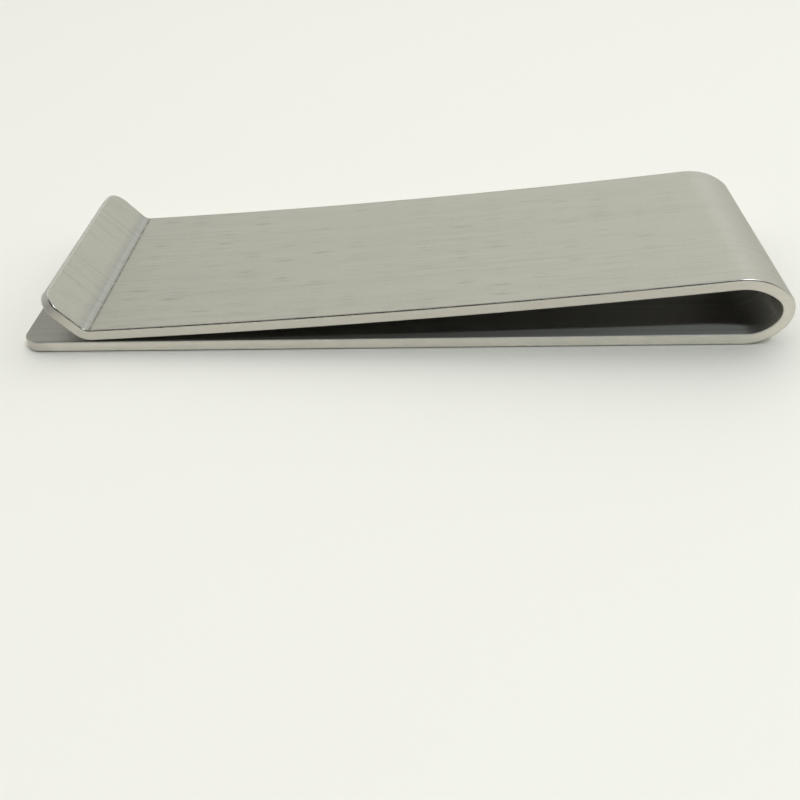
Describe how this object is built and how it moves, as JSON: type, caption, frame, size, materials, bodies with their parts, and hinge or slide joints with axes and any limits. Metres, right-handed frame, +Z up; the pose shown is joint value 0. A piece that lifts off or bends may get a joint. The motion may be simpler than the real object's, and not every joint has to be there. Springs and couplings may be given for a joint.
{
  "type": "money clip",
  "caption": "Folded spring-strip money clip with a flat back leaf, a teardrop fold, a sprung front leaf and an upturned thumb lip.",
  "frame": {"origin": "middle of the footprint, on the outer face of the back leaf, which the clip lies on", "axes": "+X along the clip from the free ends to the fold, +Y across the strip, +Z up from the back leaf towards the front leaf"},
  "size_m": [0.06, 0.02, 0.0058],
  "materials": {
    "strip": "stainless spring sheet, brushed along its length, arrises lightly tumbled"
  },
  "bodies": {
    "back": {"back_leaf": "strip", "fold_heel": "strip", "nose_lower": "strip"},
    "arm": {"nose_upper": "strip", "fold_crown": "strip", "front_leaf": "strip", "lip_bend": "strip", "thumb_lip": "strip"}
  },
  "joints": [
    {"name": "arm_open", "type": "hinge", "parent": "back", "child": "arm", "pos_m": [0.03, 0, 0.00285], "axis": [0, 1, 0], "range_deg": [0, 8], "stiffness_Nm_per_rad": 10.7, "springref_deg": -0.69}
  ]
}
